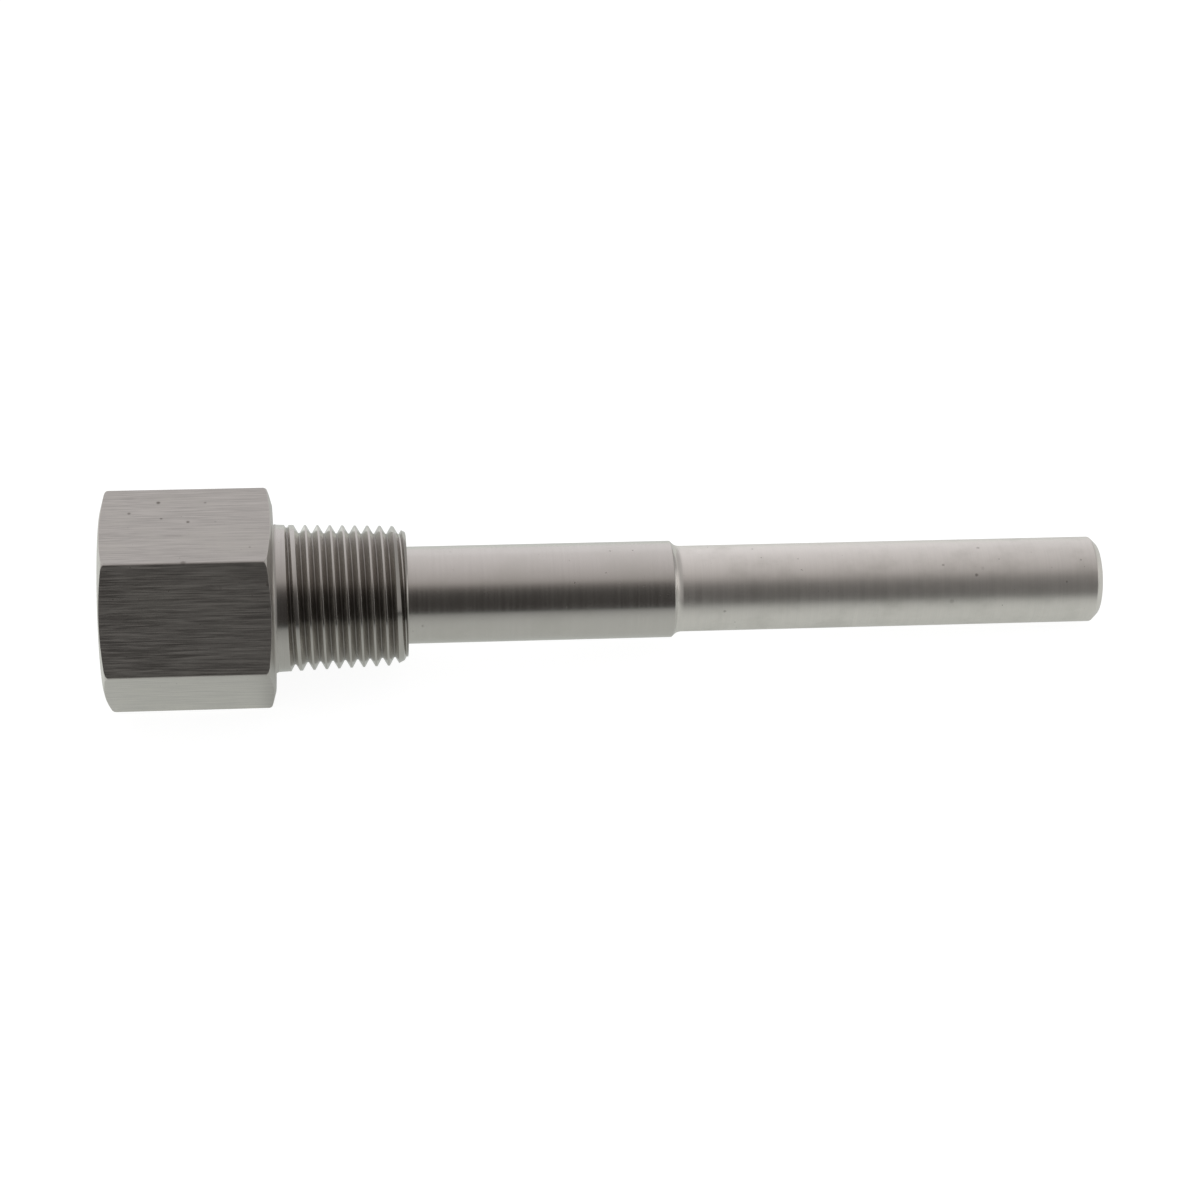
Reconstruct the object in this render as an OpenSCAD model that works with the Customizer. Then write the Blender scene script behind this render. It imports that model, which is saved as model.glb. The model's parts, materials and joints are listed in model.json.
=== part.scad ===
// Stepped thermowell, turned from one hexagon bar. It is modelled along +Z from the
// open end of its head, then laid down on a flat of the hex and the rim of its tip.

/* [Head] */
// Width of the hex across its flats
hex_af = 28.575; // [27:0.025:34]
// Length of the hex head
head_len = 24.65; // [23:0.05:34]
// How far the rim of each turned end face lies inside the flats
rim_inset = 0.65; // [0.3:0.05:1.5]
// Slope of the corner chamfers, from the end face
corner_slope = 15; // [12:1:35]

/* [Process thread] */
// Distance from the head to the small end of the thread
thread_len = 19.35; // [14:0.05:26]
// Diameter of the thread's taper where it meets the head
thread_d = 21.6; // [20.6:0.05:23.6]
// Distance between turns
pitch = 1.8143; // [1.4:0.0001:2.1]
// Loss of diameter for each millimetre of length
taper = 0.0625; // [0.02:0.0025:0.08]
// Share of the pitch that is flat at a crest, and again at a root
flat_share = 0.1; // [0.03:0.01:0.2]
// Plain collar between the head and the first groove
collar_len = 1.75; // [0.8:0.05:4]
// Turns over which the groove runs out at the collar
fade_turns = 1.05; // [0.3:0.05:2]
// Angle about the axis at which the groove starts
start_angle = 8; // [0:1:359]
// Chamfer at the thread's small end, taken off its radius
lead_cut = 0.9; // [0.3:0.05:1.2]
// Slope of that chamfer, from the axis
lead_slope = 25; // [15:1:45]
// Flat strips in one turn
strips = 60; // [36:6:84]

/* [Stem] */
// Diameter of the shank below the thread
shank_d = 14.2875; // [13.5:0.0125:16.5]
// Length of the shank
shank_len = 39; // [20:0.1:80]
// Diameter of the reduced tip
tip_d = 12.7; // [10.5:0.1:13.2]
// Length of the reduced tip, from the shank to its end
tip_len = 64.2; // [40:0.1:90]
// Length of the sloping step between shank and tip
step_len = 0.95; // [0.5:0.05:2]
// Chamfer round the end of the tip
tip_chamfer = 1; // [0.5:0.05:2]

/* [Instrument socket] */
// Bore of the socket, at the crests of its inner thread
socket_d = 18.25; // [16:0.05:19.5]
// Depth of the socket, down to its conical floor
socket_depth = 19; // [14:0.05:20.5]
// Diameter of the countersunk mouth
mouth_d = 21.8; // [20.5:0.1:23.5]
// Slope of the drilled floor, from the axis
drill_slope = 59; // [45:1:75]

/* [Sensor bore] */
// Diameter of the bore for the probe
bore_d = 6.604; // [5:0.002:7.5]
// Metal left between the bore and the end of the tip
tip_wall = 6.35; // [3:0.05:12]

/* [Hidden] */

$fn = 120;
past = 0.3;                 // how far a cut or a seat runs past the face that it meets
hex_r = hex_af / 2;
corner_r = hex_r / cos(30);
rim_r = hex_r - rim_inset;
stem_from = head_len + thread_len;
step_from = stem_from + shank_len;
total_len = step_from + tip_len;
shank_r = shank_d / 2;
tip_r = tip_d / 2;

// Thread, with heights from the head's face. Its groove is a V with a narrow flat floor,
// and gets shallower and narrower where it runs out at the collar.
half_angle = 30;
half_floor = flat_share * pitch / 2;
full_depth = (pitch / 2 - 2 * half_floor) / tan(half_angle);
crest_gap = 0.02;           // crests lie this much under the collar's cone
thread_from = collar_len - past;
fade_from = thread_from - half_floor;
first_floor = fade_from - pitch * (start_angle / 360 + 1);
corner_count = 4 * (ceil((thread_len - first_floor) / pitch) + 1);
column = corner_count + 2;  // points on one ray: the corners, and one at each end
least = pitch / strips / 2; // a corner nearer than this to an end is that end's own

function cone_r(z) = thread_d / 2 - z * taper / 2;
function crest_r(z) = cone_r(z) - crest_gap;
function depth(floor_z) =
    full_depth * min(1, max(0, (floor_z - fade_from) / (fade_turns * pitch)));

// Middle of the groove's floor on ray i, on turn n
function floor_z(i, n) = first_floor + pitch * (n + i / strips);

// Corner k of the outline on ray i, as [height, depth]: each turn has its edge on the
// head's side, both sides of its floor, and its edge on the tip's side
function corner(i, k) =
    let (
        z = floor_z(i, floor(k / 4)),
        side = k % 4 < 2 ? -1 : 1,
        deep = depth(z),
        at_edge = k % 4 == 0 || k % 4 == 3
    )
    [
        z + side * (half_floor + (at_edge ? deep * tan(half_angle) : 0)),
        at_edge ? 0 : deep
    ];

// Depth of the groove on ray i at any height
function depth_at(i, z) =
    let (
        middle = floor_z(i, round((z - first_floor) / pitch - i / strips)),
        beside = max(0, abs(z - middle) - half_floor)
    )
    max(0, depth(middle) - beside / tan(half_angle));

function on_ray(i, r, z) = [r * cos(360 * i / strips), r * sin(360 * i / strips), z];

// Place in the list of points of corner k on ray i, or of the end that it lies past
function point_at(i, k) =
    i == strips ? point_at(0, k + 4)
    : let (z = corner(i, k)[0])
        i * column + (z < thread_from + least ? 0 : z > thread_len - least ? column - 1 : k + 1);

thread_points = [
    for (i = [0:strips - 1]) each [
        on_ray(i, crest_r(thread_from), thread_from),
        for (k = [0:corner_count - 1])
            let (c = corner(i, k)) on_ray(i, crest_r(c[0]) - c[1], c[0]),
        on_ray(i, crest_r(thread_len) - depth_at(i, thread_len), thread_len)
    ]
];

thread_faces = [
    [for (i = [0:strips - 1]) i * column],
    [for (i = [strips - 1:-1:0]) (i + 1) * column - 1],
    for (i = [0:strips - 1], k = [0:corner_count - 2])
        let (
            a = point_at(i, k),
            b = point_at(i + 1, k),
            c = point_at(i + 1, k + 1),
            d = point_at(i, k + 1)
        )
        each [
            if (a != b && b != c && c != a) [a, c, b],
            if (a != c && c != d && d != a) [a, d, c]
        ]
];

// The part rests on the edge of a flat next to the thread, and on the rim of the tip.
edge_z = head_len - rim_inset * tan(corner_slope);
heel_z = total_len - tip_chamfer;
tilt = atan((hex_r - tip_r) / (heel_z - edge_z));
lift = edge_z * sin(tilt) + hex_r * cos(tilt);
low_x = -rim_r * sin(tilt);
high_x = total_len * cos(tilt) + (tip_r - tip_chamfer) * sin(tilt);

// Lays a part that stands on the open end of its head on the ground, along +X
module laid_down() {
    translate([-(low_x + high_x) / 2, 0, lift])
        rotate([0, 90 + tilt, 0])
            children();
}

// Hexagon bar with both ends turned to a cone, so that the corners run out in arcs
module head() {
    chamfer_len = (corner_r - rim_r) * tan(corner_slope);
    intersection() {
        rotate([0, 0, 30])
            cylinder(h = head_len, r = corner_r, $fn = 6);
        rotate_extrude()
            polygon([
                [0, 0], [rim_r, 0], [corner_r, chamfer_len],
                [corner_r, head_len - chamfer_len], [rim_r, head_len], [0, head_len]
            ]);
    }
}

// Tapered pipe thread: a plain collar, then turns that deepen from it and end in a chamfer
module process_thread() {
    end_r = cone_r(thread_len) - lead_cut;
    spread = tan(lead_slope);
    translate([0, 0, -past])
        cylinder(h = collar_len + past, r1 = cone_r(-past), r2 = cone_r(collar_len));
    intersection() {
        polyhedron(thread_points, thread_faces, convexity = 10);
        cylinder(
            h = thread_len + past,
            r1 = end_r + thread_len * spread,
            r2 = end_r - past * spread
        );
    }
}

// Shank, sloping step and reduced tip, turned in one go
module stem() {
    rotate_extrude()
        polygon([
            [0, stem_from - past], [shank_r, stem_from - past], [shank_r, step_from],
            [tip_r, step_from + step_len], [tip_r, total_len - tip_chamfer],
            [tip_r - tip_chamfer, total_len], [0, total_len]
        ]);
}

// Everything that is drilled from the open end: mouth, socket, drill point and blind bore
module drilled() {
    socket_r = socket_d / 2;
    mouth_r = mouth_d / 2;
    bore_r = bore_d / 2;
    floor_len = (socket_r - bore_r) / tan(drill_slope);
    bore_floor = total_len - tip_wall;
    rotate_extrude()
        polygon([
            [0, -past], [mouth_r + past, -past], [socket_r, mouth_r - socket_r],
            [socket_r, socket_depth], [bore_r, socket_depth + floor_len],
            [bore_r, bore_floor], [0, bore_floor]
        ]);
}

module thermowell() {
    color("silver")
        laid_down()
            difference() {
                union() {
                    head();
                    translate([0, 0, head_len])
                        process_thread();
                    stem();
                }
                drilled();
            }
}

thermowell();
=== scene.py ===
import json
import math

import bpy
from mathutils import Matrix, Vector


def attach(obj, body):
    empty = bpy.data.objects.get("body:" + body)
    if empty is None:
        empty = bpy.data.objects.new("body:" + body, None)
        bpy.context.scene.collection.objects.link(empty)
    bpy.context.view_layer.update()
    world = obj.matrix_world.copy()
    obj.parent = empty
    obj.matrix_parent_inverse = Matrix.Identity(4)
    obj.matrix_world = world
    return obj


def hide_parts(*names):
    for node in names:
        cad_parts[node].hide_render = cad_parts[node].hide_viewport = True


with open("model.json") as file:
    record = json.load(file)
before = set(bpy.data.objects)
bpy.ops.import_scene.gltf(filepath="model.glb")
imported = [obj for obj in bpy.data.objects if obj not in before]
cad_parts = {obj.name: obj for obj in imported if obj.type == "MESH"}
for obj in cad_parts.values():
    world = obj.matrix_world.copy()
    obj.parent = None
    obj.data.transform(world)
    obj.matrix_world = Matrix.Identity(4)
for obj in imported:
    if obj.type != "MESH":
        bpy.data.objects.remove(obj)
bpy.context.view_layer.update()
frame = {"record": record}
print("frame loaded")

mm = 0.001
mounts = {mount["name"]: mount for mount in frame["record"]["mounts"]}

# The well is modelled standing on its open end, in millimetres, and laid down at the end.
# The lengths below are heights above the open end, and "across" is a diameter.

hexHead = {
    "acrossFlats": 28.575,
    "length": 24.65,
    "rimInset": 0.65,
    "cornerSlope": 15,
    "cornerRunOut": [(0.45, 35), (0.2, 60), (0.06, 80)],
    "pastEnds": 2.0,
    "edgeRound": 0.2,
    "edgeBreak": 0.22,
    "breakAngle": 19,
    "turnSteps": 180,
}

stem = {
    "across": 14.2875,
    "tipAcross": 12.7,
    "threadEnd": 44.0,
    "shankEnd": 83.0,
    "stepRound": 1.5,
    "length": 147.2,
    "tipChamfer": 1.0,
    "edgeBreak": 0.14,
    "breakAngle": 15,
    "intoHead": 3.0,
    "turnSteps": 144,
}

pipeThread = {
    "across": 21.6,
    "taper": 0.0625,
    "pitch": 1.8143,
    "collar": 1.75,
    "fillet": 0.5,
    "filletShape": [(0.55, 0.12), (0.2, 0.42)],
    "leadCut": 0.9,
    "leadSlope": 25,
    "halfAngle": 30,
    "rootFlat": 0.1814,
    "crestRound": 0.05,
    "depth": 1.18,
    "pastCrest": 0.6,
    "runOut": 1.05,
    "backOut": 1.02,
    "startAngle": 8,
    "seat": 0.3,
    "turns": 13,
    "stepsPerTurn": 144,
}

socket = {
    "across": 18.25,
    "depth": 19.0,
    "mouthAcross": 21.8,
    "drillSlope": 59,
    "rootRadiusAtMouth": 10.5,
    "rootFlat": 0.1814,
    "threadReach": 2.0,
    "threadFrom": -1.0,
    "threadDepth": 17.2,
    "fadeTurns": 2.5,
    "fadeOut": 1.6,
    "turns": 11,
    "stepsPerTurn": 96,
}

probeBore = {
    "across": 6.604,
    "floor": 140.85,
}

# points this close together are one point, and edges this short are slivers
samePoint = 0.0005
sliver = 0.0003
# how far a turned blank or a drill runs past the face that it meets
past = 0.5


# shaping helpers

def drawOutline(name, corners):
    # a chain of edges in the XZ plane, drawn corner by corner
    bpy.ops.object.select_all(action="DESELECT")
    bpy.ops.mesh.primitive_plane_add(size=1)
    piece = bpy.context.object
    piece.name = name
    bpy.ops.object.mode_set(mode="EDIT")
    bpy.ops.mesh.select_mode(type="VERT")
    bpy.ops.mesh.select_all(action="SELECT")
    bpy.ops.mesh.merge(type="CENTER")
    here = Vector((0, 0, 0))
    for number, (across, height) in enumerate(corners):
        there = Vector((across, 0, height))
        if number == 0:
            bpy.ops.transform.translate(value=there - here)
        else:
            bpy.ops.mesh.extrude_vertices_move(TRANSFORM_OT_translate={"value": there - here})
        here = there
    return piece


def closeUp():
    bpy.ops.mesh.select_all(action="SELECT")
    bpy.ops.mesh.remove_doubles(threshold=samePoint)
    bpy.ops.mesh.normals_make_consistent(inside=False)
    bpy.ops.object.mode_set(mode="OBJECT")


def atRadius(point, radius):
    # moves a point straight out from the axis, or in
    share = radius / math.hypot(point.co.x, point.co.y)
    point.co.x *= share
    point.co.y *= share


def turnOnLathe(name, corners, steps):
    piece = drawOutline(name, corners)
    bpy.ops.mesh.select_all(action="SELECT")
    bpy.ops.mesh.spin(steps=steps, angle=math.tau, center=(0, 0, 0), axis=(0, 0, 1))
    closeUp()
    return piece


def breakEdges(piece, sizes):
    bpy.context.view_layer.objects.active = piece
    bevel = piece.modifiers.new("edges", "BEVEL")
    bevel.width = sizes["edgeBreak"]
    bevel.segments = 2
    bevel.limit_method = "ANGLE"
    bevel.angle_limit = math.radians(sizes["breakAngle"])
    bpy.ops.object.modifier_apply(modifier=bevel.name)


def combine(piece, tool, operation):
    bpy.ops.object.select_all(action="DESELECT")
    bpy.context.view_layer.objects.active = piece
    cut = piece.modifiers.new("cut", "BOOLEAN")
    cut.operation = operation
    cut.solver = "EXACT"
    cut.object = tool
    bpy.ops.object.modifier_apply(modifier=cut.name)
    bpy.data.objects.remove(tool)


def sweepTool(name, corners, turns, steps):
    # a closed profile swept along a right-hand helix
    tool = drawOutline(name, corners)
    bpy.ops.mesh.select_all(action="SELECT")
    bpy.ops.mesh.remove_doubles(threshold=samePoint)
    bpy.ops.object.mode_set(mode="OBJECT")
    screw = tool.modifiers.new("helix", "SCREW")
    screw.axis = "Z"
    screw.angle = math.tau
    screw.screw_offset = pipeThread["pitch"]
    screw.iterations = turns
    screw.steps = steps
    screw.render_steps = steps
    screw.use_merge_vertices = False
    bpy.ops.object.modifier_apply(modifier=screw.name)
    bpy.ops.object.mode_set(mode="EDIT")
    bpy.ops.mesh.select_all(action="SELECT")
    bpy.ops.mesh.fill_holes(sides=0)
    closeUp()
    return tool


# hex head

flatRadius = hexHead["acrossFlats"] / 2
cornerRadius = flatRadius / math.cos(math.radians(30))
rimRadius = flatRadius - hexHead["rimInset"]

bpy.ops.object.select_all(action="DESELECT")
# the bar runs past both ends, so that only the blank gives the end faces
bpy.ops.mesh.primitive_cylinder_add(
    vertices=6, radius=cornerRadius, depth=hexHead["length"] + 2 * hexHead["pastEnds"],
    location=(0, 0, hexHead["length"] / 2))
head = bpy.context.object
head.name = "thermowellBody"
bpy.ops.object.transform_apply(location=True, rotation=True, scale=True)
bpy.ops.object.mode_set(mode="EDIT")
bpy.ops.mesh.select_mode(type="EDGE")
bpy.ops.mesh.select_all(action="DESELECT")
bpy.ops.object.mode_set(mode="OBJECT")
for edge in head.data.edges:
    low, high = (head.data.vertices[i].co for i in edge.vertices)
    edge.select = abs(low.z - high.z) > 1
bpy.ops.object.mode_set(mode="EDIT")
bpy.ops.mesh.bevel(offset=hexHead["edgeRound"], segments=3, affect="EDGES")
bpy.ops.object.mode_set(mode="OBJECT")

# the cone of each end face gets steeper at the corners of the hex: how far inside the corner that is,
# and the slope from there
ends = [(rimRadius, 0)]
slope = hexHead["cornerSlope"]
for inside, nextSlope in hexHead["cornerRunOut"] + [(-past, 90)]:
    outward, upward = ends[-1]
    reach = cornerRadius - inside
    ends.append((reach, upward + (reach - outward) * math.tan(math.radians(slope))))
    slope = nextSlope
otherEnd = [(outward, hexHead["length"] - upward) for outward, upward in reversed(ends)]
blankOutline = [(0, 0), *ends, *otherEnd, (0, hexHead["length"])]
blank = turnOnLathe("headBlank", blankOutline, hexHead["turnSteps"])
combine(head, blank, "INTERSECT")
breakEdges(head, hexHead)
print("head", len(head.data.polygons))


# stem, and the thread cut into it

def threadRadius(height):
    # the thread's crests, with heights from the head's face
    return (pipeThread["across"] - height * pipeThread["taper"]) / 2


headFace = hexHead["length"]
threadLength = stem["threadEnd"] - headFace
endRadius = threadRadius(threadLength) - pipeThread["leadCut"]
leadLength = pipeThread["leadCut"] / math.tan(math.radians(pipeThread["leadSlope"]))
leadFrom = threadLength - leadLength
leadRadius = threadRadius(leadFrom)

# the step from shank to tip: a chamfer, then a hollow round
shankRadius, tipRadius = stem["across"] / 2, stem["tipAcross"] / 2
stepSlope = math.radians(45)
chamfer = shankRadius - tipRadius - stem["stepRound"] * (1 - math.cos(stepSlope))
hollow = []
for step in range(5):
    turned = stepSlope * (1 - step / 4)
    along = chamfer + stem["stepRound"] * (math.sin(stepSlope) - math.sin(turned))
    hollow.append((tipRadius + stem["stepRound"] * (1 - math.cos(turned)), stem["shankEnd"] + along))

fillet = pipeThread["fillet"]
filletRound = [(threadRadius(0) + fillet * outward, headFace + fillet * along)
               for outward, along in pipeThread["filletShape"]]
body = turnOnLathe("stem", [
    (0, headFace - stem["intoHead"]), (threadRadius(0), headFace - stem["intoHead"]),
    (threadRadius(0) + fillet, headFace - pipeThread["seat"]), (threadRadius(0) + fillet, headFace + 0.01),
    *filletRound, (threadRadius(0), headFace + fillet),
    (threadRadius(pipeThread["collar"]), headFace + pipeThread["collar"]),
    (leadRadius, headFace + leadFrom), (endRadius, stem["threadEnd"]),
    (shankRadius, stem["threadEnd"]), (shankRadius, stem["shankEnd"]), *hollow,
    (tipRadius, stem["length"] - stem["tipChamfer"]),
    (tipRadius - stem["tipChamfer"], stem["length"]), (0, stem["length"]),
], stem["turnSteps"])
breakEdges(body, stem)

flank = math.tan(math.radians(pipeThread["halfAngle"]))
halfRoot = pipeThread["rootFlat"] / 2
halfCrest = halfRoot + pipeThread["depth"] * flank
fadeFrom = pipeThread["collar"] - pipeThread["seat"] - halfRoot
firstFloor = fadeFrom - pipeThread["pitch"] * (pipeThread["startAngle"] / 360 + 1)


def grooveProfile(crestRound):
    # one side of a V groove with a small round at its crest, then mirrored:
    # each point is how far out from the crest, and how far along
    bend = math.radians(90 - pipeThread["halfAngle"])
    flatFrom = halfCrest + crestRound * math.tan(bend / 2)
    side = [(-pipeThread["depth"], halfRoot)]
    for step in range(4):
        # the round's centre lies one radius under the crest, where the flat of the crest begins
        left = bend - bend * step / 3
        side.append((-crestRound * (1 - math.cos(left)), flatFrom - crestRound * math.sin(left)))
    side.append((pipeThread["pastCrest"], flatFrom))
    return [(out, -along) for out, along in reversed(side)] + side


profile = grooveProfile(pipeThread["crestRound"])
toolOutline = [(threadRadius(0) + out, headFace + firstFloor + along) for out, along in profile + profile[:1]]
tool = sweepTool("threadTool", toolOutline, pipeThread["turns"], pipeThread["stepsPerTurn"])

# the tool follows the taper, and backs out towards the collar
for point in tool.data.vertices:
    around = math.atan2(point.co.y, point.co.x) / math.tau % 1
    here = point.co.z - headFace
    turn = round((here - firstFloor) / pipeThread["pitch"] - around)
    floor = firstFloor + pipeThread["pitch"] * (turn + around)
    share = min(1, max(0, (floor - fadeFrom) / (pipeThread["runOut"] * pipeThread["pitch"])))
    radius = math.hypot(point.co.x, point.co.y) - here * pipeThread["taper"] / 2
    atRadius(point, radius + pipeThread["depth"] * pipeThread["backOut"] * (1 - share))
combine(body, tool, "DIFFERENCE")
print("thread cut", len(body.data.polygons))

combine(head, body, "UNION")
print("head and stem", len(head.data.polygons))


# socket and bore, drilled from the open end

socketRadius = socket["across"] / 2
boreRadius = probeBore["across"] / 2
floorLength = (socketRadius - boreRadius) / math.tan(math.radians(socket["drillSlope"]))
mouthRadius = socket["mouthAcross"] / 2
drill = turnOnLathe("drill", [
    (0, -past), (mouthRadius + past, -past), (socketRadius, mouthRadius - socketRadius),
    (socketRadius, socket["depth"]), (boreRadius, socket["depth"] + floorLength),
    (boreRadius, probeBore["floor"]), (0, probeBore["floor"]),
], stem["turnSteps"])
combine(head, drill, "DIFFERENCE")
print("drilled", len(head.data.polygons))

innerRoot, reach = socket["rootFlat"] / 2, socket["threadReach"]
innerCrest = innerRoot + reach * flank
innerProfile = [(-reach, innerCrest), (0, innerRoot), (0, -innerRoot), (-reach, -innerCrest)]
tapOutline = [(socket["rootRadiusAtMouth"] + out, socket["threadFrom"] + along)
              for out, along in innerProfile + innerProfile[:1]]
tap = sweepTool("tap", tapOutline, socket["turns"], socket["stepsPerTurn"])
for point in tap.data.vertices:
    left = (socket["threadDepth"] - point.co.z) / (socket["fadeTurns"] * pipeThread["pitch"])
    share = min(1, max(0, left))
    radius = math.hypot(point.co.x, point.co.y) - point.co.z * pipeThread["taper"] / 2
    atRadius(point, radius - socket["fadeOut"] * (1 - share))
combine(head, tap, "DIFFERENCE")

# drop the slivers that the cuts leave
bpy.ops.object.mode_set(mode="EDIT")
bpy.ops.mesh.select_all(action="SELECT")
bpy.ops.mesh.dissolve_degenerate(threshold=sliver)
bpy.ops.object.mode_set(mode="OBJECT")
print("tapped", len(head.data.polygons))


# where the solid lies: its open end and its lean come from the socket's mount
mouthMount = mounts["instrument_socket"]
alongWell = -Vector(mouthMount["axis"])
openEnd = Vector(mouthMount["pos_m"]) - alongWell * (mouthRadius - socketRadius) * mm
leaning = math.atan2(alongWell.x, alongWell.z)


# materials

class Flow:
    # one number on its way through a material, so that its sums are written as plain arithmetic
    def __init__(self, finish, socket):
        self.finish, self.socket = finish, socket

    def sum(self, operation, *values):
        return self.finish.add("ShaderNodeMath", {"operation": operation}, dict(enumerate(values)))

    def __add__(self, other):
        return self.sum("ADD", self, other)

    __radd__ = __add__

    def __sub__(self, other):
        return self.sum("SUBTRACT", self, other)

    def __rsub__(self, other):
        return self.sum("SUBTRACT", other, self)

    def __mul__(self, other):
        return self.sum("MULTIPLY", self, other)

    __rmul__ = __mul__

    def __truediv__(self, other):
        return self.sum("DIVIDE", self, other)

    def __pow__(self, other):
        return self.sum("POWER", self, other)

    def most(self, other):
        return self.sum("MAXIMUM", self, other)


class Finish:
    # a node tree with one way to add any node
    def __init__(self, tree):
        self.tree = tree
        self.tree.nodes.clear()

    def add(self, kind, settings=(), inputs=(), output=0):
        node = self.tree.nodes.new(kind)
        for name, value in dict(settings).items():
            if name == "stops":
                for stop in range(len(value) - 2):
                    node.color_ramp.elements.new(0.5)
                for element, (place, colour) in zip(node.color_ramp.elements, value):
                    element.position = place
                    element.color = (*colour, 1)
            else:
                setattr(node, name, value)
        for name, value in dict(inputs).items():
            if isinstance(value, Flow):
                self.tree.links.new(value.socket, node.inputs[name])
            else:
                node.inputs[name].default_value = value
        return Flow(self, node.outputs[output]) if node.outputs else node

    def axes(self, vector):
        parts = self.add("ShaderNodeSeparateXYZ", (), {"Vector": vector})
        return (Flow(self, axis) for axis in parts.socket.node.outputs)

    def noise(self, vector, scale, detail=2.0, roughness=0.5):
        return self.add("ShaderNodeTexNoise", {"noise_dimensions": "3D"}, {
            "Vector": vector, "Scale": scale, "Detail": detail, "Roughness": roughness})

    def stretchedNoise(self, vector, scale, detail, roughness):
        stretched = self.add("ShaderNodeVectorMath", {"operation": "MULTIPLY"}, {0: vector, 1: scale})
        return self.noise(stretched, 1.0, detail, roughness)

    def rays(self):
        # what the camera sees itself, and what it sees mirrored in the steel
        seen = self.add("ShaderNodeLightPath", output="Is Camera Ray")
        glossy = Flow(self, seen.socket.node.outputs["Is Glossy Ray"])
        return seen, glossy.most(Flow(self, seen.socket.node.outputs["Is Transmission Ray"]))

    def between(self, value, low, high, atLow=0.0, atHigh=1.0):
        return self.add("ShaderNodeMapRange", {"interpolation_type": "SMOOTHSTEP"}, {
            "Value": value, "From Min": low, "From Max": high, "To Min": atLow, "To Max": atHigh})

    def tint(self, share, first, second):
        # a colour between two others
        mix = self.tree.nodes.new("ShaderNodeMix")
        mix.data_type = "RGBA"
        self.tree.links.new(share.socket, mix.inputs["Factor"])
        for name, colour in (("A", first), ("B", second)):
            slot = [i for i in mix.inputs if i.name == name and i.type == "RGBA"][0]
            if isinstance(colour, Flow):
                self.tree.links.new(colour.socket, slot)
            else:
                slot.default_value = (*colour, 1)
        return Flow(self, [o for o in mix.outputs if o.type == "RGBA"][0])


steelColours = {
    "bright": (0.78, 0.752, 0.712),
    "dull": (0.30, 0.287, 0.27),
    "stainAndShade": (0.10, 0.085, 0.07),
    "smudge": (0.53, 0.515, 0.475),
}

# marks left by handling: height above the open end, place across the flat from its middle, size, strength
topFlatMarks = [
    (8.5, 5.2, 0.42, 0.62), (4.4, 2.9, 0.36, 0.5), (9.0, 1.6, 0.28, 0.5), (12.8, 0.75, 0.38, 0.55),
    (15.2, 5.0, 0.3, 0.35), (21.6, -5.1, 0.26, 0.3), (16.7, 0.7, 0.24, 0.2),
]
sideFlatMarks = [
    (12.3, 8.3, 0.55, 0.4), (24.1, 4.8, 0.5, 0.6), (17.4, 4.5, 0.3, 0.25), (13.8, -4.3, 0.4, 0.25),
]

# on the shank and the tip, the place across is an angle above the side that faces the eye
tipMarks = [
    (128.7, 93, 0.34, 0.35), (127.9, 50, 0.36, 0.55), (123.0, 65, 0.26, 0.4), (131.5, 72, 0.2, 0.3),
    (143.8, 68, 0.22, 0.4), (141.4, 38, 0.22, 0.4), (95.0, 103, 0.26, 0.3), (101.5, 80, 0.2, 0.3),
    (90.4, 8, 0.3, 0.35), (124.2, 15, 0.5, 0.22), (128.9, 59, 0.4, 0.15),
]
shankMarks = [(46.1, 2, 0.3, 0.25), (74.5, 128, 0.25, 0.4), (73.8, 95, 0.22, 0.35)]


def onFlat(turned, height, aside, size, strength):
    # a mark on the flat that is turned this far from the top one, towards the eye
    side, up = math.sin(math.radians(turned)), math.cos(math.radians(turned))
    return (-up * flatRadius - side * aside, up * aside - side * flatRadius, height), size, strength


def onRound(radius, height, turned, size, strength):
    turned = math.radians(turned)
    return (-radius * math.sin(turned), -radius * math.cos(turned), height), size, strength


finishes = {
    "drawn": {
        "grain": "drawn", "shine": (0.09, 0.59), "roughness": (0.36, 0.5), "grainDepth": 0.003,
        "clouds": 0.14,
        "marks": [onFlat(0, *mark) for mark in topFlatMarks] + [onFlat(60, *mark) for mark in sideFlatMarks],
    },
    "faced": {"grain": "turned", "shine": (0.47, 0.585), "roughness": (0.36, 0.44), "grainDepth": 0.0008},
    "threads": {
        "grain": "turned", "shine": (0.4, 0.49), "roughness": (0.15, 0.21), "grainDepth": 0.0005,
        # painted shade, darker towards the floor of each groove
        "grooveShade": (0.05, 0.7, 0.12),
    },
    # the groove floors: painted shade, a darker steel than on the crests and darker still deep down
    "roots": {
        "grain": "turned", "shine": (0.0, 0.12), "roughness": (0.26, 0.34), "grainDepth": 0.0005,
        "grooveShade": (0, 0.1, 0.4),
    },
    "shank": {
        "grain": "turned", "shine": (0.565, 0.635), "roughness": (0.2, 0.25), "grainDepth": 0.0003,
        "clouds": 0.1,
        "marks": [onRound(shankRadius, *mark) for mark in shankMarks],
    },
    "tip": {
        "grain": "turned", "shine": (0.89, 1.0), "roughness": (0.34, 0.4), "grainDepth": 0.0003,
        "clouds": 0.16,
        "marks": [onRound(tipRadius, *mark) for mark in tipMarks],
    },
    "inside": {"grain": "turned", "shine": (0.29, 0.46), "roughness": (0.3, 0.42), "grainDepth": 0.002},
}


# the lines that a tool leaves, coarse and fine: how often in a millimetre along X, Y and Z, detail, roughness
grains = {
    "drawn": [((5.0, 5.0, 0.1), 3.0, 0.7), ((10.0, 10.0, 0.22), 3.0, 0.7)],
    "turned": [((1.0, 1.0, 1.6), 3.0, 0.6), ((3.0, 3.0, 8.5), 2.0, 0.6)],
}


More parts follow.
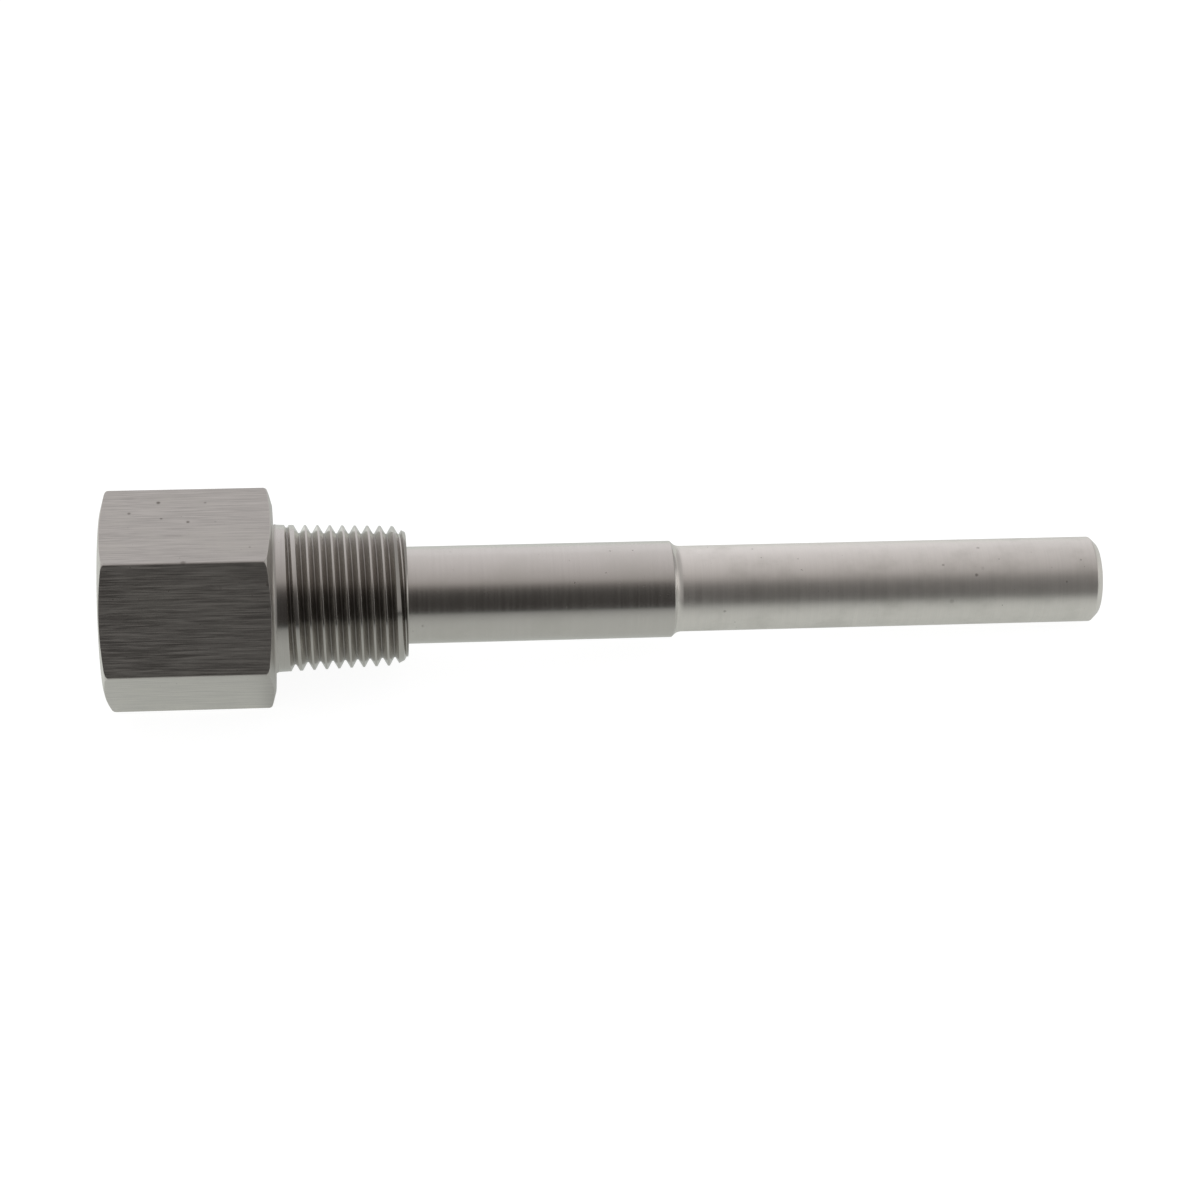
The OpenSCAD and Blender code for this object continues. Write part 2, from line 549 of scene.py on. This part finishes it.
def steel(name, grain, shine, roughness, grainDepth, clouds=0.3, marks=(), grooveShade=None):
    material = bpy.data.materials.new(name + "Steel")
    material.use_nodes = True
    finish = Finish(material.node_tree)
    place = finish.add("ShaderNodeTexCoord", output="Object")
    # millimetres on the well as it was modelled, with its axis along Z
    onWell = finish.add("ShaderNodeMapping", {"vector_type": "TEXTURE"}, {
        "Vector": place, "Location": tuple(openEnd), "Rotation": (0, leaning, 0), "Scale": (mm, mm, mm)})
    x, y, z = finish.axes(onWell)
    out = (x * x + y * y) ** 0.5
    ground = onWell
    if grain == "turned":
        # marks of the turning tool run round the axis, and follow a face or a cylinder alike
        ground = finish.add("ShaderNodeCombineXYZ", (), {"X": x * 0.05, "Y": y * 0.05, "Z": z + out})
    coarse, fine = (finish.stretchedNoise(ground, *lines) for lines in grains[grain])
    streak = coarse * 0.5 + fine * 0.5
    wear = finish.between(streak, 0.32, 0.68, *shine)
    colour = finish.tint(wear, steelColours["dull"], steelColours["bright"])
    cloud = finish.noise(onWell, clouds, 4.0, 0.6)
    haze = finish.between(cloud, 0.45, 0.72, 0.0, 0.4)
    colour = finish.tint(haze, colour, steelColours["smudge"])
    dirt = finish.between(finish.noise(onWell, 1.9, 1.0), 0.76, 0.82, 0.0, 0.5)

    for spot, size, strength in marks:
        gone = finish.add("ShaderNodeVectorMath", {"operation": "DISTANCE"},
                          {0: onWell, 1: spot}, output="Value")
        blot = finish.between(gone + (fine - 0.5) * size, size * 0.3, size, strength, 0.0)
        dirt = dirt.most(blot)
    colour = finish.tint(dirt, colour, steelColours["stainAndShade"])
    if grooveShade:
        # painted shade: darker deep in the grooves, none on the crests
        below = pipeThread["across"] / 2 - (z - headFace) * (pipeThread["taper"] / 2) - out
        unshadedTo, darkFrom, share = grooveShade
        deep = finish.between(below, unshadedTo, darkFrom, 0.0, share)
        colour = finish.tint(deep, colour, steelColours["stainAndShade"])
    rough = finish.between(streak, 0.38, 0.62, *roughness) + haze * 0.06 + dirt * 0.2
    bump = finish.add("ShaderNodeBump", (), {
        "Strength": 1.0, "Distance": grainDepth * mm, "Height": streak - dirt * 1.5})
    surface = finish.add("ShaderNodeBsdfPrincipled", (), {
        "Base Color": colour, "Metallic": 1.0, "Roughness": rough, "Normal": bump})
    finish.add("ShaderNodeOutputMaterial", (), {"Surface": surface})
    return material


# which surface has which finish, by where the middle of the face lies, with a little room at each border
def regionOf(face):
    spot = face.center
    out = math.hypot(spot.x, spot.y)
    facesAlong = abs(face.normal.z)
    if spot.z < headFace + 0.005 and out > threadRadius(0) + 0.02:
        return "drawn" if facesAlong < 0.05 and out > rimRadius else "faced"
    if socket["depth"] < spot.z < probeBore["floor"] + 0.1 and out < boreRadius + 0.4:
        return "inside"
    if 0.01 < spot.z < socket["depth"] + floorLength + 0.2 and out < socket["rootRadiusAtMouth"] + 0.35:
        return "inside"
    if spot.z < stem["threadEnd"] + 0.05:
        if spot.z < headFace + pipeThread["fillet"]:
            return "faced"
        # the flat floor of the groove, which gets painted shade
        under = threadRadius(spot.z - headFace) - out
        onFloor = under > 0.1 and facesAlong < 0.3 and spot.z < headFace + leadFrom
        return "roots" if onFloor else "threads"
    return "shank" if spot.z < stem["shankEnd"] + 0.3 else "tip"


steels = {name: steel(name, **looks) for name, looks in finishes.items()}
head.data.materials.clear()
for material in steels.values():
    head.data.materials.append(material)
order = list(steels)
for face in head.data.polygons:
    face.material_index = order.index(regionOf(face))
finished = [face.material_index for face in head.data.polygons]
print("finishes", {name: finished.count(number) for number, name in enumerate(order)})

bpy.ops.object.select_all(action="DESELECT")
head.select_set(True)
bpy.context.view_layer.objects.active = head

head.scale = (mm, mm, mm)
head.rotation_euler = (0, leaning, 0)
head.location = openEnd
bpy.ops.object.transform_apply(location=True, rotation=True, scale=True)
bpy.ops.object.shade_smooth_by_angle(angle=math.radians(24))
# large faces keep their own normals right up to their broken edges
weighted = head.modifiers.new("evenShading", "WEIGHTED_NORMAL")
weighted.keep_sharp = True
bpy.ops.object.modifier_apply(modifier=weighted.name)

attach(head, "root")
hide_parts("thermowell")


# camera

view = {
    "fromOpenEnd": (49.86, -323.91, 282.17),
    "turned": (48.3415, 1.159, -5.012),
    "lens": 87.85,
    "sensor": 36,
}
bpy.ops.object.camera_add(
    location=openEnd + Vector(view["fromOpenEnd"]) * mm,
    rotation=[math.radians(angle) for angle in view["turned"]])
camera = bpy.context.object
camera.data.lens = view["lens"]
camera.data.sensor_width = view["sensor"]
camera.data.clip_start = 0.01
bpy.context.scene.camera = camera

# floor, room and lamp

studio = {
    "floorColour": 0.25,
    "floorGlow": 0.9,
    # painted reflection: how the floor glows as seen in the steel, and where it is painted dark
    "floorInSteel": (-0.07, 0.01, 0.25, 0.52),
    "floorBehind": (0.02, 0.2, 0.0, 0.2),
    "floorByHead": (-0.053, -0.049, 1.5, 1.0),
    "floorTint": (0.97, 1.01, 0.97),
    "sheetEdge": -0.15,
    "edgeSkew": 0.38,
    "edgeSoftness": 0.1,
    "roomLevel": 0.7,
    "lampSize": 1.1,
    "lampPower": 1.2,
    "lampPlace": (0.05, 0.35, 1.0),
}

# walls across the room's two ends: towards which end, where they start and are full, their share and level
walls = [(-1, 0.75, 1.0, 0.85, 0.5), (1, 0.12, 0.6, 0.9, 0.42), (1, 0.9, 1.0, 1.0, 1.15)]

# how bright the room looks in the steel, by the height of the gaze in degrees: 0 is level on the eye's
# side, 90 straight up and 180 level at the back
roomLevels = [
    (0, 0.065), (10, 0.045), (28, 0.045), (38, 0.055), (46, 0.088), (53, 0.16), (59, 0.29), (64, 0.43),
    (70, 0.52), (80, 0.60), (90, 0.66), (100, 0.72), (112, 0.78), (126, 0.84), (139, 0.88), (147, 0.91),
    (151, 0.97), (165, 0.98), (180, 0.95),
]

bpy.ops.object.select_all(action="DESELECT")
bpy.ops.mesh.primitive_plane_add(size=8, location=(0, 0, 0))
floor = bpy.context.object
floor.name = "floor"
paper = bpy.data.materials.new("palePaper")
paper.use_nodes = True
finish = Finish(paper.node_tree)
along, across, _ = finish.axes(finish.add("ShaderNodeTexCoord", output="Object"))
seen, mirrored = finish.rays()
onSheet = finish.between(across - along * studio["edgeSkew"], studio["sheetEdge"] - studio["edgeSoftness"],
                         studio["sheetEdge"] + studio["edgeSoftness"])
# painted reflection: only as seen in the steel, the floor glows on its own, dim in front, brighter behind the
# well and brighter still under the head, slightly green, and beyond the sheet's edge it is painted dark
inSteel = finish.between(across, *studio["floorInSteel"]) + finish.between(across, *studio["floorBehind"])
inSteel = inSteel * finish.between(along, *studio["floorByHead"])
hidden = mirrored * (1 - onSheet)
diffuse = finish.add("ShaderNodeBsdfDiffuse", (), {
    "Color": finish.tint(hidden, (studio["floorColour"],) * 3, (0.02, 0.02, 0.02))})
glow = finish.add("ShaderNodeEmission", (), {
    "Color": finish.tint(mirrored, (1, 1, 1), studio["floorTint"]),
    "Strength": seen * studio["floorGlow"] + mirrored * onSheet * inSteel + hidden * 0.03})
both = finish.add("ShaderNodeAddShader", (), {0: diffuse, 1: glow})
finish.add("ShaderNodeOutputMaterial", (), {"Surface": both})
floor.data.materials.append(paper)

# the room: white behind and above, dark at the level of the eye in front
world = bpy.data.worlds.new("studio")
bpy.context.scene.world = world
world.use_nodes = True
finish = Finish(world.node_tree)
aside, ahead, up = finish.axes(finish.add("ShaderNodeTexCoord", output="Generated"))
gaze = up.sum("ARCTAN2", up, 0 - ahead) / math.pi
# warm where it is dark, near white where it is bright
band = finish.add("ShaderNodeValToRGB", {"stops": [
    (height / 180, (level, level * (0.91 + 0.07 * level), level * (0.86 + 0.15 * level)))
    for height, level in roomLevels]}, {"Fac": gaze})
room = band
for end, start, full, share, level in walls:
    wall = (level, level * 0.98, level * 0.97)
    room = finish.tint(finish.between(aside * end, start, full, 0.0, share), room, wall)
seen, mirrored = finish.rays()
light = finish.tint(mirrored, (studio["roomLevel"],) * 3, room)
light = finish.tint(seen, light, (1, 1, 1))
finish.add("ShaderNodeOutputWorld", (), {"Surface": finish.add("ShaderNodeBackground", (), {
    "Color": light, "Strength": 1.0})})

bpy.ops.object.light_add(type="AREA", location=studio["lampPlace"])
lamp = bpy.context.object
lamp.name = "softbox"
lamp.rotation_euler = (-Vector(studio["lampPlace"])).to_track_quat("-Z", "Y").to_euler()
lamp.data.size = studio["lampSize"]
lamp.data.energy = studio["lampPower"]
lamp.visible_glossy = False

bpy.context.scene.view_settings.view_transform = "Standard"
print("studio ready")
